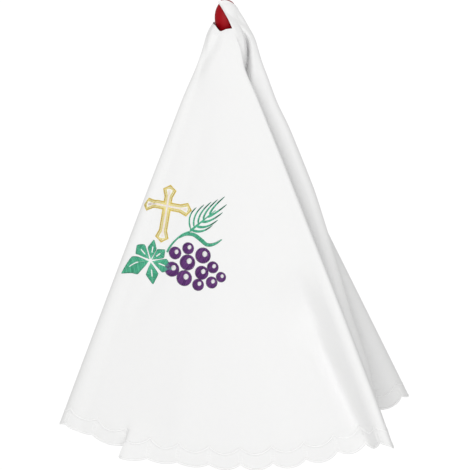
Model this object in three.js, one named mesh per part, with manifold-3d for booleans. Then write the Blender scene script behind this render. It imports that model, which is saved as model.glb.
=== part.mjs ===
import * as THREE from "three";
import Module from "manifold-3d";
import { mergeVertices } from "three/addons/utils/BufferGeometryUtils.js";

// A round white altar cloth with a scalloped border, hung by its middle on a red peg.
// Millimetres, +Z up, the front of the cloth towards -Y. The origin is the middle of the
// upper face of the plate that the peg hangs from.
//
// A point of the cloth has two numbers. Its reach is how far it lies from the middle of the
// cloth, measured along the cloth. Its place says where it lies round the cloth: place i is
// the ridge or valley in row i of FOLDS, and the layer from fold i to the next lies between.

const CLOTH_RADIUS = 600; // from the middle to the tips of the scallops
const BORDER_WIDTH = 31;
const SCALLOPS = 90;
const SCALLOP_DEPTH = 8;
const SCALLOP_SHIFT = 0.35; // in scallops, from the left edge to the first notch
const SEAM_GAP = 0.5; // between the cloth's edge and the border, measured down the cloth
const PIECE_GAP = 0.3;
const CLOTH_THICK = 1.3;
const BORDER_THICK = 1.1;

// The middle of the cloth lies this far under the plate's upper face.
const DROP = 45;
const LAYER_PITCH = 3.5; // between layers where they are gathered at the top
const COLLAR_REACH = 50; // down to here the cloth lies round the knob
const COLLAR_SPREAD = 0.012; // how much wider it gets for each millimetre below that
const COLLAR_FALL = 0.92; // how far down the cloth gets there for each millimetre of reach
const LOOSE_REACH = 140; // from here down the folds hang straight
const TURN_SHARE = 0.12; // of the way to the next fold, taken up by half a turn

const KNOB = { x: 5, z: -22, halfWide: 15.5, halfDeep: 13, halfHigh: 23 };
const KNOB_CLEAR = 3.9; // at the points of the cloth, whose flat faces come nearer to the knob
const ROD_RADIUS = 2.5;
const PLATE_RADIUS = 20;
const PLATE_THICK = 5;

// side: 1 for a fold whose edge points to the right, -1 to the left. back: 1 where the layer
// after the fold lies behind the one before it. gap: between those layers at the hem.
// bulge: how far the edge bows to the right halfway down. bow: how far the layer after the
// fold bows to the back at the hem. sag: how much longer the cloth hangs there than it is cut.
const FOLDS = [
  { name: "left edge", side: -1, back: -1, hemX: -219, hemY: 45, gap: 34, topX: -2, bulge: -1, bow: -14, sag: 2 },
  { name: "front right", side: 1, back: 1, hemX: 214, hemY: -75, gap: 14, topX: -8, bulge: 4, bow: 3, sag: 15 },
  { name: "front valley", side: -1, back: 1, hemX: -95, hemY: 22, gap: 13, topX: 8, bulge: 0, bow: 3, sag: 4 },
  { name: "middle right", side: 1, back: 1, hemX: 221, hemY: 12, gap: 38, topX: 23, bulge: 11, bow: -2, sag: 0 },
  { name: "middle valley", side: -1, back: 1, hemX: -92, hemY: 91, gap: 13, topX: 6, bulge: 0, bow: 2, sag: 0 },
  { name: "rear right", side: 1, back: 1, hemX: 257, hemY: 105, gap: 44, topX: -12, bulge: 0, bow: 8, sag: 0 },
  { name: "rear left", side: -1, back: -1, hemX: -208, hemY: 141, gap: 15, topX: -2, bulge: 0, bow: 2, sag: 0 },
  { name: "rear inner", side: 1, back: -1, hemX: 138, hemY: 107, gap: 13, topX: -2, bulge: 0, bow: 1, sag: 0 },
  { name: "middle left", side: -1, back: -1, hemX: -212, hemY: 99, gap: 32, topX: -2, bulge: 0, bow: 1, sag: 0 },
  { name: "inner valley", side: 1, back: -1, hemX: 108, hemY: 21, gap: 13, topX: -2, bulge: 0, bow: 1, sag: 0 },
];
const FRONT_SAG_POWER = 3.2; // above 1, the front layer sags most near its right edge
const LAYERS_FRONT_TO_BACK = [0, 1, 2, 9, 8, 3, 4, 7, 6, 5];

// The gathered top, in order round the knob. x and y are where the cloth leaves the knob,
// and the rim columns are its upper edge, which is low in front and rises to a hood.
const COLLAR = [
  { place: 0, x: -21, y: -6, rimX: -13, rimY: -7, rimZ: -29 },
  { place: 0.25, x: -16.5, y: -14, rimX: -9, rimY: -14, rimZ: -33 },
  { place: 0.5, x: -6, y: -18, rimX: -3, rimY: -17, rimZ: -42 },
  { place: 0.75, x: 4, y: -20, rimX: 5, rimY: -18, rimZ: -38 },
  { place: 1, x: 13, y: -20.5, rimX: 13, rimY: -18.5, rimZ: -36.5 },
  { place: 2, x: 19, y: -19.5, rimX: 6, rimY: -18, rimZ: -24 },
  { place: 2.5, x: 27, y: -15, rimX: -2, rimY: -15, rimZ: -11 },
  { place: 3, x: 40, y: -6, rimX: -6, rimY: -11, rimZ: -4 },
  { place: 3.25, x: 41, y: -2, rimX: 4, rimY: -12, rimZ: -3.5 },
  { place: 3.5, x: 40, y: 2, rimX: 12, rimY: -9, rimZ: -9 },
  { place: 4, x: 36, y: 9, rimX: 21, rimY: -3, rimZ: -16 },
  { place: 5, x: 25, y: 17, rimX: 23, rimY: 11, rimZ: -22 },
  { place: 5.5, x: 4, y: 24, rimX: 5, rimY: 20, rimZ: -19 },
  { place: 6, x: -11, y: 20, rimX: -8, rimY: 16, rimZ: -23 },
  { place: 7, x: -16, y: 14, rimX: -12, rimY: 11, rimZ: -25 },
  { place: 8, x: -20, y: 8, rimX: -14, rimY: 6, rimZ: -26 },
  { place: 9, x: -21.5, y: 1, rimX: -14, rimY: -1, rimZ: -28 },
];
const COLLAR_ROUND = 0.8; // below 1, the cloth leaves its rim in a round shoulder

// How far a fold's edge lies to the right of its straight run, at a few reaches.
const TRIMS = [
  { fold: 1, reach: [50, 60, 77, 97, 140, 205, 330, 530, 600], right: [0, 4, 5.5, 3.5, 0.5, 1.7, 1, 3, 1] },
  {
    fold: 3,
    reach: [50, 86, 117, 147, 170, 262, 365, 437, 495, 600],
    right: [0, -6.5, -6.5, -4, -0.5, 1.5, -5, -6, -1, 0],
  },
];
// The pocket beside the hood, where the layer behind the front right fold is drawn in.
const POCKET = {
  fromPlace: 2.5,
  toPlace: 2.66,
  fromReach: 68,
  toReach: 107,
  fromHalf: 0.2,
  toHalf: 0.1,
  deep: 14,
  rise: [45, 63],
  end: [90, 125],
};

// A tuck in the front layer, formed only near the hem, where the right part overlaps the left.
const TUCK = { at: 0.195, half: 0.042, deep: 20, drop: 6, overlap: 12, fade: 0.2, from: 460 };
// A soft trough that runs down the front layer to its lower right corner.
const TROUGH = { fromReach: 330, fromAt: 0.66, toReach: 560, toAt: 0.875, deep: 13, half: 0.05 };

const TURN_STEPS = 4;
const FRONT_STEPS = 26;
const LAYER_STEPS = 4;
const RIM_STEPS = 4;
const COLLAR_STEPS = 5;
const HANG_STEPS = 8;
const SCALLOP_STEPS = 4;
const SCALLOP_ROUNDNESS = 0.8; // below 1, the scallops are fuller than a sine wave
const NORMAL_STEP = { place: 0.004, reach: 0.5, fromRim: 0.02 }; // steps that find a normal

const mix = (a, b, share) => a + (b - a) * share;
const ease = (t) => {
  const held = Math.min(1, Math.max(0, t));
  return held * held * (3 - 2 * held);
};
const foldAt = (i) => FOLDS[(i + FOLDS.length) % FOLDS.length];
const layerTopY = (layer) => {
  const rank = LAYERS_FRONT_TO_BACK.indexOf((layer + FOLDS.length) % FOLDS.length);
  return (rank - (FOLDS.length - 1) / 2) * LAYER_PITCH;
};

// The edge of a fold and the gap between its layers, at the gathered top or at the hem.
function foldEdge(i, atHem) {
  const fold = foldAt(i);
  if (atHem) return { x: fold.hemX, y: fold.hemY, gap: fold.gap, fold };
  const before = layerTopY(i - 1);
  const after = layerTopY(i);
  return { x: fold.topX, y: (before + after) / 2, gap: Math.abs(after - before), fold };
}

// A point on the half circle that the cloth makes at a fold, from -1 at its start to 1.
function turnPoint(i, turn, atHem) {
  const { x, y, gap, fold } = foldEdge(i, atHem);
  const angle = (turn * Math.PI) / 2;
  return {
    x: x - fold.side * (gap / 2) * (1 - Math.cos(angle)),
    y: y + fold.back * (gap / 2) * Math.sin(angle),
  };
}

// The plan of the cloth at the gathered top or at the hem.
function planPoint(place, atHem) {
  const i = Math.floor(place);
  const along = place - i;
  if (along < TURN_SHARE) return turnPoint(i, along / TURN_SHARE, atHem);
  if (along > 1 - TURN_SHARE) return turnPoint(i + 1, (along - 1) / TURN_SHARE, atHem);
  const share = layerShare(place);
  const start = turnPoint(i, 1, atHem);
  const end = turnPoint(i + 1, -1, atHem);
  const bow = atHem ? foldAt(i).bow * Math.sin(Math.PI * share) : 0;
  return { x: mix(start.x, end.x, share), y: mix(start.y, end.y, share) + bow };
}

function layerShare(place) {
  return (place - Math.floor(place) - TURN_SHARE) / (1 - 2 * TURN_SHARE);
}

// How far the tuck and the trough move a point of the front layer.
function frontRelief(share, reach) {
  const tuckRise = ease((reach - TUCK.from) / (CLOTH_RADIUS - TUCK.from));
  const beside = (share - TUCK.at) / TUCK.half;
  const held = Math.min(1, Math.max(-1, beside));
  const fall = Math.exp(-Math.max(0, share - TUCK.at - TUCK.half) / TUCK.fade);
  const step = (0.5 + 0.5 * Math.sin((held * Math.PI) / 2)) * fall;
  const down = (reach - TROUGH.fromReach) / (TROUGH.toReach - TROUGH.fromReach);
  const off = (share - mix(TROUGH.fromAt, TROUGH.toAt, down)) / TROUGH.half;
  const trough = TROUGH.deep * ease(down) * Math.exp(-off * off);
  return new THREE.Vector3(
    -TUCK.overlap * tuckRise * Math.sin(held * Math.PI),
    trough - TUCK.deep * tuckRise * step,
    -TUCK.drop * tuckRise * step,
  );
}

// A point of the cloth below the gathered top, on the straight line that it hangs along.
function hangingPoint(place, reach) {
  const top = planPoint(place, false);
  const hem = planPoint(place, true);
  const down = reach / CLOTH_RADIUS;
  const i = Math.floor(place);
  const sag = mix(foldAt(i).sag, foldAt(i + 1).sag, (place - i) ** (i === 0 ? FRONT_SAG_POWER : 1));
  const drop = Math.sqrt((CLOTH_RADIUS + sag) ** 2 - (hem.x - top.x) ** 2 - (hem.y - top.y) ** 2);
  const bulge = mix(foldAt(i).bulge, foldAt(i + 1).bulge, place - i) * Math.sin(Math.PI * down);
  const point = new THREE.Vector3(mix(top.x, hem.x, down) + bulge, mix(top.y, hem.y, down), -drop * down);
  const onFront = i === 0 && place > TURN_SHARE && place < 1 - TURN_SHARE;
  return onFront ? point.add(frontRelief(layerShare(place), reach)) : point;
}

// The row of COLLAR before a place, the row after it, and the share of the way between.
function collarRows(place) {
  const after = COLLAR.findIndex((row) => row.place > place);
  const next = after < 0 ? { ...COLLAR[0], place: FOLDS.length } : COLLAR[after];
  const last = COLLAR[(after < 0 ? COLLAR.length : after) - 1];
  return [last, next, (place - last.place) / (next.place - last.place)];
}

function collarPoint(place, reach) {
  const [last, next, share] = collarRows(place);
  const spread = 1 + COLLAR_SPREAD * (reach - COLLAR_REACH);
  return new THREE.Vector3(mix(last.x, next.x, share), mix(last.y, next.y, share), 0)
    .multiplyScalar(spread)
    .setZ(-reach * COLLAR_FALL);
}

function rimPoint(place) {
  const [last, next, share] = collarRows(place);
  return new THREE.Vector3(
    mix(last.rimX, next.rimX, share),
    mix(last.rimY, next.rimY, share),
    mix(last.rimZ, next.rimZ, share),
  );
}

// How far TRIMS moves one fold's edge, and from that a point between two folds.
function foldTrim(i, reach) {
  const trim = TRIMS.find((row) => row.fold === i % FOLDS.length);
  if (!trim) return 0;
  const after = trim.reach.findIndex((stop) => stop > reach);
  if (after < 0) return trim.right.at(-1);
  if (after === 0) return trim.right[0];
  const share = (reach - trim.reach[after - 1]) / (trim.reach[after] - trim.reach[after - 1]);
  return mix(trim.right[after - 1], trim.right[after], share);
}

function trimAt(place, reach) {
  const i = Math.floor(place);
  return mix(foldTrim(i, reach), foldTrim(i + 1, reach), place - i);
}

function pocketDepth(place, reach) {
  const down = (reach - POCKET.fromReach) / (POCKET.toReach - POCKET.fromReach);
  const half = mix(POCKET.fromHalf, POCKET.toHalf, Math.min(1, Math.max(0, down)));
  const off = (place - mix(POCKET.fromPlace, POCKET.toPlace, down)) / half;
  const start = ease((reach - POCKET.rise[0]) / (POCKET.rise[1] - POCKET.rise[0]));
  const end = ease((POCKET.end[1] - reach) / (POCKET.end[1] - POCKET.end[0]));
  return POCKET.deep * start * end * Math.exp(-off * off);
}

// Moves a point out of the knob, so that the cloth lies on it.
function clearOfKnob(point) {
  const room = KNOB_CLEAR + CLOTH_THICK / 2;
  const size = new THREE.Vector3(KNOB.halfWide, KNOB.halfDeep, KNOB.halfHigh).addScalar(room);
  const middle = new THREE.Vector3(KNOB.x, 0, KNOB.z);
  const offset = point.clone().sub(middle);
  const share = offset.clone().divide(size).length();
  return share < 1 ? middle.addScaledVector(offset, 1 / share) : point;
}

// Rows of the cloth from the rim to the border. A row above the collar has the share of
// the way from the rim, and the others have their reach.
function clothPoint(place, row) {
  if (row.fromRim !== undefined) {
    const rim = rimPoint(place);
    const collar = collarPoint(place, COLLAR_REACH);
    const out = row.fromRim ** COLLAR_ROUND;
    return clearOfKnob(new THREE.Vector3(
      mix(rim.x, collar.x, out),
      mix(rim.y, collar.y, out),
      mix(rim.z, collar.z, row.fromRim),
    ));
  }
  const trim = new THREE.Vector3(trimAt(place, row.reach), pocketDepth(place, row.reach), 0);
  const hanging = hangingPoint(place, row.reach);
  if (row.reach >= LOOSE_REACH) return hanging.add(trim);
  const loose = ease((row.reach - COLLAR_REACH) / (LOOSE_REACH - COLLAR_REACH));
  return collarPoint(place, row.reach).lerp(hanging, loose).add(trim);
}

// The places of the columns of faces, closer together at the turns and on the front layer.
function columnPlaces() {
  const places = [];
  for (let i = 0; i < FOLDS.length; i += 1) {
    for (let k = 0; k < TURN_STEPS / 2; k += 1) places.push(i + (TURN_SHARE * k) / (TURN_STEPS / 2));
    const steps = i === 0 ? FRONT_STEPS : LAYER_STEPS;
    for (let k = 0; k <= steps; k += 1) {
      places.push(i + TURN_SHARE + ((1 - 2 * TURN_SHARE) * k) / steps);
    }
    for (let k = 1; k < TURN_STEPS / 2; k += 1) {
      places.push(i + 1 - TURN_SHARE * (1 - k / (TURN_STEPS / 2)));
    }
  }
  return places;
}

function clothRows() {
  const rows = [];
  for (let k = 0; k < RIM_STEPS; k += 1) rows.push({ fromRim: k / RIM_STEPS });
  for (let k = 0; k < COLLAR_STEPS; k += 1) {
    rows.push({ reach: mix(COLLAR_REACH, LOOSE_REACH, k / COLLAR_STEPS) });
  }
  const end = CLOTH_RADIUS - BORDER_WIDTH - SEAM_GAP / 2;
  for (let k = 0; k <= HANG_STEPS; k += 1) rows.push({ reach: mix(LOOSE_REACH, end, k / HANG_STEPS) });
  return rows;
}

// The outward normal of the cloth's middle surface at one place and row.
function normalAt(place, row) {
  const around = (p) => (p + FOLDS.length) % FOLDS.length;
  const before = clothPoint(around(place - NORMAL_STEP.place), row);
  const after = clothPoint(around(place + NORMAL_STEP.place), row);
  const lower = row.fromRim !== undefined
    ? { fromRim: row.fromRim + NORMAL_STEP.fromRim }
    : { reach: row.reach + NORMAL_STEP.reach };
  const down = clothPoint(place, lower).sub(clothPoint(place, row));
  return after.sub(before).cross(down).negate().normalize();
}

// The two faces of the sheet at one place and row.
function sheetPair(place, row, thick) {
  const middle = clothPoint(place, row);
  const normal = normalAt(place, row);
  return [
    middle.clone().addScaledVector(normal, thick / 2),
    middle.clone().addScaledVector(normal, -thick / 2),
  ];
}

// A closed band from rows of point pairs, each row running once round the cloth.
function bandGeometry(rows) {
  const positions = [];
  const around = rows[0].length;
  for (const row of rows) for (const pair of row) for (const p of pair) positions.push(p.x, p.y, p.z);
  const index = [];
  const at = (r, c, face) => 2 * (r * around + (c % around)) + face;
  const quad = (a, b, c, d) => index.push(a, b, c, a, c, d);
  for (let c = 0; c < around; c += 1) {
    for (let r = 0; r < rows.length - 1; r += 1) {
      quad(at(r, c, 0), at(r + 1, c, 0), at(r + 1, c + 1, 0), at(r, c + 1, 0));
      quad(at(r, c, 1), at(r, c + 1, 1), at(r + 1, c + 1, 1), at(r + 1, c, 1));
    }
    const last = rows.length - 1;
    quad(at(0, c, 0), at(0, c + 1, 0), at(0, c + 1, 1), at(0, c, 1));
    quad(at(last, c, 0), at(last, c, 1), at(last, c + 1, 1), at(last, c + 1, 0));
  }
  const geometry = new THREE.BufferGeometry();
  geometry.setAttribute("position", new THREE.Float32BufferAttribute(positions, 3));
  geometry.setIndex(index);
  geometry.computeVertexNormals();
  return geometry;
}

function clothGeometry() {
  const places = columnPlaces();
  return bandGeometry(clothRows().map((row) => places.map((p) => sheetPair(p, row, CLOTH_THICK))));
}

// How far along the seam each column lies, with the whole length as the last number.
function seamLengths(places, reach) {
  const points = places.map((place) => clothPoint(place, { reach }));
  const lengths = [0];
  for (let c = 0; c < points.length; c += 1) {
    lengths.push(lengths[c] + points[c].distanceTo(points[(c + 1) % points.length]));
  }
  return lengths;
}

// The border lies on the cloth's own faces, so its points are shares of the way between the
// cloth's columns. Each scallop has its notch and a few points of its curve.
function borderGeometry() {
  const places = columnPlaces();
  const inner = CLOTH_RADIUS - BORDER_WIDTH + SEAM_GAP / 2;
  const lengths = seamLengths(places, inner);
  const whole = lengths[places.length];
  const pitch = whole / SCALLOPS;
  const nearest = pitch / SCALLOP_STEPS / 4;
  const stops = lengths.slice(0, -1);
  for (let k = 0; k < SCALLOPS * SCALLOP_STEPS; k += 1) {
    const along = ((k / SCALLOP_STEPS + SCALLOP_SHIFT) * pitch) % whole;
    if (lengths.every((length) => Math.abs(length - along) > nearest)) stops.push(along);
  }
  stops.sort((a, b) => a - b);
  const lobe = (along) => Math.abs(Math.sin((along / pitch - SCALLOP_SHIFT) * Math.PI));
  const notch = (along) => 1 - lobe(along) ** SCALLOP_ROUNDNESS;
  const rows = [() => inner, (along) => CLOTH_RADIUS - SCALLOP_DEPTH * notch(along)];
  return bandGeometry(rows.map((reachAt) => stops.map((along) => {
    const c = lengths.findIndex((length) => length > along) - 1;
    const share = (along - lengths[c]) / (lengths[c + 1] - lengths[c]);
    const row = { reach: reachAt(along) };
    const last = sheetPair(places[c], row, BORDER_THICK);
    const next = sheetPair(places[(c + 1) % places.length], row, BORDER_THICK);
    return [last[0].lerp(next[0], share), last[1].lerp(next[1], share)];
  })));
}

const wasm = await Module();
wasm.setup();

function toSolid(geometry) {
  const bare = geometry.clone();
  bare.deleteAttribute("normal");
  bare.deleteAttribute("uv");
  const merged = mergeVertices(bare, 1e-4);
  return new wasm.Manifold(new wasm.Mesh({
    numProp: 3,
    vertProperties: new Float32Array(merged.attributes.position.array),
    triVerts: new Uint32Array(merged.index.array),
  }));
}

function toGeometry(solid) {
  const mesh = solid.getMesh();
  const geometry = new THREE.BufferGeometry();
  geometry.setAttribute("position", new THREE.Float32BufferAttribute(mesh.vertProperties, 3));
  geometry.setIndex(new THREE.Uint32BufferAttribute(mesh.triVerts, 1));
  geometry.computeVertexNormals();
  return geometry;
}

// The peg: a thin rod with an egg-shaped knob that sits a little to the right of it.
function pegGeometry() {
  const knob = new THREE.SphereGeometry(1, 24, 16);
  knob.rotateX(Math.PI / 2);
  knob.scale(KNOB.halfWide, KNOB.halfDeep, KNOB.halfHigh);
  knob.translate(KNOB.x, 0, KNOB.z);
  const rodTop = DROP - PLATE_THICK - PIECE_GAP;
  const rodEnd = KNOB.z / 2;
  const rod = new THREE.CylinderGeometry(ROD_RADIUS, ROD_RADIUS, rodTop - rodEnd, 16);
  rod.rotateX(Math.PI / 2);
  rod.translate(0, 0, (rodTop + rodEnd) / 2);
  return toGeometry(toSolid(knob).add(toSolid(rod)));
}

function plateGeometry() {
  const plate = new THREE.CylinderGeometry(PLATE_RADIUS, PLATE_RADIUS, PLATE_THICK, 32);
  plate.rotateX(Math.PI / 2);
  plate.translate(0, 0, DROP - PLATE_THICK / 2);
  return plate;
}

const linen = new THREE.MeshStandardMaterial({ color: 0xf3f3f3, roughness: 0.9, metalness: 0 });
const lace = new THREE.MeshStandardMaterial({ color: 0xf0f0f0, roughness: 0.85, metalness: 0 });
const red = new THREE.MeshStandardMaterial({ color: 0xa50014, roughness: 0.35, metalness: 0 });

function named(name, geometry, material) {
  const mesh = new THREE.Mesh(geometry, material);
  mesh.name = name;
  return mesh;
}

const altarCloth = new THREE.Group();
altarCloth.add(
  named("cloth", clothGeometry(), linen),
  named("scalloped_border", borderGeometry(), lace),
  named("peg", pegGeometry(), red),
  named("peg_plate", plateGeometry(), red.clone()),
);
altarCloth.position.z = -DROP;

export default altarCloth;
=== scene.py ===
import math

import bpy
import numpy as np
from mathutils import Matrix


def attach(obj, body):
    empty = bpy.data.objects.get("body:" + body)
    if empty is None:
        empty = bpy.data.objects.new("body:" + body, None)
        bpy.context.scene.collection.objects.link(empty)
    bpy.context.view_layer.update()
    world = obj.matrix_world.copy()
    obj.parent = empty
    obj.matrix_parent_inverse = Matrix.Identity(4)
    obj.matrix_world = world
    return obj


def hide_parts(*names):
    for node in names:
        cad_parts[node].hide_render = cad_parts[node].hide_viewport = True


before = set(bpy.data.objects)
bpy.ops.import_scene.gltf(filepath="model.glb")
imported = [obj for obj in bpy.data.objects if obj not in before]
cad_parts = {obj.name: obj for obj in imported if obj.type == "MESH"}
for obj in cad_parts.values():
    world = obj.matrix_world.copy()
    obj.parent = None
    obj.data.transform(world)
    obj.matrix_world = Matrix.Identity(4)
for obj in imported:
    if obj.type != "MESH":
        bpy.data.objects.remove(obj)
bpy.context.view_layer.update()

# A round white altar cloth, hung by its middle in deep folds on the knob of a red peg.
# Metres, +Z up, the front of the cloth towards -Y.
print("frame loaded")


# how the cloth is cut and hung
clothCut = {
    "radius": 0.6,  # middle to the tips of the scallops
    "borderWidth": 0.031,
    "scallops": 90,
    "scallopDepth": 0.008,
    "leftDepth": 0.45,  # of that depth, where the hem is nearly straight at the front left
    "scallopShift": 0.35,  # in scallops, from the left edge to the first notch
    "raised": 0.4,  # of the depth that they lack there, by which the tips rise
    "thick": 0.0006,
    "layerPitch": 0.0035,  # between the layers gathered at the top
    "frontWide": 0.43,  # across the front layer at the hem
    "edgeFade": 0.05,  # of a layer's width, over which its creases fade out beside a fold
    "frontSagPower": 3.2,  # how late the hem of the front layer drops towards its right fold
    "behindSagPower": 0.35,  # and how soon that of the layer behind it rises again
    "behindWidth": 0.72,  # of the layer behind the front one, against the front one
    "behindFade": 0.2,  # of its width, over which it stops giving way to the front one
}
drop = 0.045  # from the plate's upper face to the middle of the cloth
turnShare = 0.12  # of the way to the next fold, taken up by half a turn
collar = {
    "reach": 0.05,  # from the upper edge to the lower end of the collar
    "round": 0.8,
    "spread": 12.0,  # how fast it opens below that, for each metre
    "fall": 0.92,
    "looseReach": 0.14,  # from here down the folds hang straight
    "cornerStep": 0.05,  # of a fold, for rounding off the table's corners
    "slack": 0.006, "slackReach": 0.24, "slackFade": 0.06,
}
knob = {"x": 0.005, "z": -0.022, "halfWide": 0.0155, "halfDeep": 0.013, "halfHigh": 0.023}
knobRoom = 0.002  # from the knob to the middle of the cloth

# one row for each fold, in order round the cloth. side: 1 where its edge points right. back: 1
# where the next layer lies behind. gap: between its layers at the hem. bow: of the next layer.
# sag: how much longer the cloth hangs than it is cut. soft: how far the edge is drawn out.
foldColumns = ("side", "back", "hemX", "hemY", "gap", "topX", "bulge", "bow", "sag", "soft")
foldRows = (
    (-1, -1, -0.219, 0.045, 0.034, -0.002, -0.001, -0.014, 0.002, 1.6),  # left edge
    (1, 1, 0.214, -0.075, 0.014, -0.008, 0.004, 0.003, 0.015, 1),  # front right
    (-1, 1, -0.095, 0.022, 0.013, 0.008, 0, 0.003, -0.003, 1),  # front valley
    (1, 1, 0.221, 0.012, 0.038, 0.023, 0.011, -0.002, 0, 1),  # middle right
    (-1, 1, -0.092, 0.091, 0.013, 0.006, 0, 0.002, 0, 1),  # middle valley
    (1, 1, 0.257, 0.105, 0.044, -0.012, 0, 0.008, 0, 1),  # rear right
    (-1, -1, -0.208, 0.141, 0.015, -0.002, 0, 0.002, 0, 1),  # rear left
    (1, -1, 0.138, 0.107, 0.013, -0.002, 0, 0.001, 0, 1),  # rear inner
    (-1, -1, -0.212, 0.099, 0.032, -0.002, 0, 0.001, 0, 1),  # middle left
    (1, -1, 0.108, 0.021, 0.013, -0.002, 0, 0.001, 0, 1),  # inner valley
)
fold = dict(zip(foldColumns, np.array(foldRows, float).T))
foldCount = len(foldRows)
layersFrontToBack = (0, 1, 2, 9, 8, 3, 4, 7, 6, 5)

# where the cloth leaves the knob, and its upper edge, which rises to a hood on the right
collarColumns = ("place", "x", "y", "rimX", "rimY", "rimZ")
collarRows = (
    (0, -0.021, -0.006, -0.0122, -0.007, -0.0305),
    (0.25, -0.0165, -0.014, -0.009, -0.014, -0.034),
    (0.5, -0.006, -0.018, -0.003, -0.017, -0.044),
    (0.75, 0.004, -0.02, 0.005, -0.018, -0.04),
    (1, 0.013, -0.0205, 0.013, -0.0185, -0.0395),
    (2, 0.019, -0.0195, 0.006, -0.018, -0.026),
    (2.5, 0.027, -0.015, -0.003, -0.015, -0.011),
    (3, 0.04, -0.006, -0.0105, -0.011, -0.0005),
    (3.25, 0.041, -0.002, 0.002, -0.012, 0.0014),
    (3.5, 0.04, 0.002, 0.0128, -0.009, -0.0042),
    (4, 0.036, 0.009, 0.021, -0.003, -0.016),
    (5, 0.025, 0.017, 0.023, 0.011, -0.022),
    (5.5, 0.004, 0.024, 0.005, 0.02, -0.019),
    (6, -0.011, 0.02, -0.008, 0.016, -0.023),
    (7, -0.016, 0.014, -0.012, 0.011, -0.025),
    (8, -0.02, 0.008, -0.0125, 0.006, -0.029),
    (9, -0.0215, 0.001, -0.0125, -0.001, -0.031),
)
collarTable = dict(zip(collarColumns, np.array(collarRows, float).T))

# how far two folds' edges lie to the right of their straight runs, at a few reaches
trims = {
    1: {"reach": (0.05, 0.06, 0.077, 0.097, 0.14, 0.205, 0.33, 0.53, 0.6),
        "right": (0, 0.005, 0.007, 0.002, -0.001, -0.0013, -0.002, -0.001, -0.002)},
    3: {"reach": (0.05, 0.086, 0.117, 0.147, 0.17, 0.262, 0.365, 0.437, 0.495, 0.6),
        "right": (0, -0.0065, -0.0065, -0.006, -0.003, -0.0005, -0.004, -0.006, -0.004, -0.008)},
}
# the pocket beside the hood, where the layer behind the front right fold is drawn in, and the
# slanting crease at the upper left
pocketColumns = ("fromPlace", "toPlace", "fromReach", "toReach", "fromHalf", "toHalf", "deep",
                 "rise", "end")
pockets = (
    (2.62, 2.5, 0.06, 0.107, 0.085, 0.075, 0.022, (0.042, 0.062), (0.096, 0.128)),
    (0.52, 0.16, 0.046, 0.088, 0.09, 0.07, 0.0045, (0.034, 0.052), (0.08, 0.125)),
)

# the small pleat that steps the hem down near its left end
tuck = {"at": 0.158, "half": 0.034, "deep": 0.012, "drop": 0.008, "overlap": 0.012,
        "fade": 0.1, "from": 0.555}

# soft troughs (deep above 0) and ridges (below 0) of the front layer, from one end to the other;
# past the end they fade out over the tail, a share of their length
creaseColumns = ("fromShare", "fromReach", "toShare", "toReach", "deep", "halfLeft", "halfRight",
                 "tail")
creaseRise = 0.35  # of a crease's length, over which it starts
creases = (
    (0.86, 0.34, 0.945, 0.6, 0.027, 0.06, 0.018, 0.5),  # the hollow at the lower right
    (0.88, 0.43, 0.935, 0.572, 0.013, 0.018, 0.009, 0.07),  # and the trough that ends in it
    (0.3, 0.12, 0.14, 0.3, 0.001, 0.012, 0.012, 0.25),
    (0.16, 0.35, 0.07, 0.42, 0.0016, 0.01, 0.01, 0.25),  # the pucker under the leaf
    (0.55, 0.33, 0.62, 0.56, 0.0012, 0.02, 0.02, 0.25),
    (0.35, 0.4, 0.33, 0.58, -0.0016, 0.022, 0.022, 0.25),
)

# the cloth is never quite even: waves that run round it and down it, with their start and share
uneven = {"deep": 0.0007, "from": 0.1, "over": 0.2,
          "waves": ((9.1, 21, 0, 0.5), (23.7, -34, 1.3, 0.3))}
runningMean = ((-2, 1), (-1, 2), (0, 3), (1, 2), (2, 1))
meanWeight = 9
normalSteps = {"place": 0.003, "reach": 0.0006}


def named(columns, rows):
    return [dict(zip(columns, row)) for row in rows]


def mix(a, b, share):
    return a + (b - a) * share


def ease(t):
    held = np.clip(t, 0.0, 1.0)
    return held * held * (3 - 2 * held)


def betweenFolds(share):
    return ease(share / clothCut["edgeFade"]) * ease((1 - share) / clothCut["edgeFade"])


def layerTopY(layer):
    order = np.argsort(layersFrontToBack)
    return (order[layer % foldCount] - (foldCount - 1) / 2) * clothCut["layerPitch"]


def foldEdge(i, atHem):
    i = i % foldCount
    if atHem:
        return fold["hemX"][i], fold["hemY"][i], fold["gap"][i]
    before, after = layerTopY(i - 1), layerTopY(i)
    return fold["topX"][i], (before + after) / 2, np.abs(after - before)


def turnPoint(i, turn, atHem):
    x, y, gap = foldEdge(i, atHem)
    angle = turn * math.pi / 2
    i = i % foldCount
    return (x - fold["side"][i] * fold["soft"][i] * gap / 2 * (1 - np.cos(angle)),
            y + fold["back"][i] * gap / 2 * np.sin(angle))


def planPoint(place, atHem):
    i = np.floor(place).astype(int)
    along = place - i
    share = np.clip((along - turnShare) / (1 - 2 * turnShare), 0, 1)
    startX, startY = turnPoint(i, np.minimum(along / turnShare, 1), atHem)
    endX, endY = turnPoint(i + 1, np.maximum((along - 1) / turnShare, -1), atHem)
    x, y = mix(startX, endX, share), mix(startY, endY, share)
    if atHem:
        y = y + fold["bow"][i % foldCount] * np.sin(math.pi * share)
    return x, y


def creaseDepth(share, reach, width):
    depth = 0
    for c in named(creaseColumns, creases):
        runX = (c["toShare"] - c["fromShare"]) * width
        runY = c["toReach"] - c["fromReach"]
        offX, offY = (share - c["fromShare"]) * width, reach - c["fromReach"]
        length = np.hypot(runX, runY)
        along = (offX * runX + offY * runY) / length ** 2
        across = (offX * runY - offY * runX) / length
        ends = ease(along / creaseRise) * ease((1 + c["tail"] - along) / c["tail"])
        half = np.where(across < 0, c["halfLeft"], c["halfRight"])
        depth = depth + c["deep"] * ends * np.exp(-(across / half) ** 2)
    return depth * betweenFolds(share)


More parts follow.
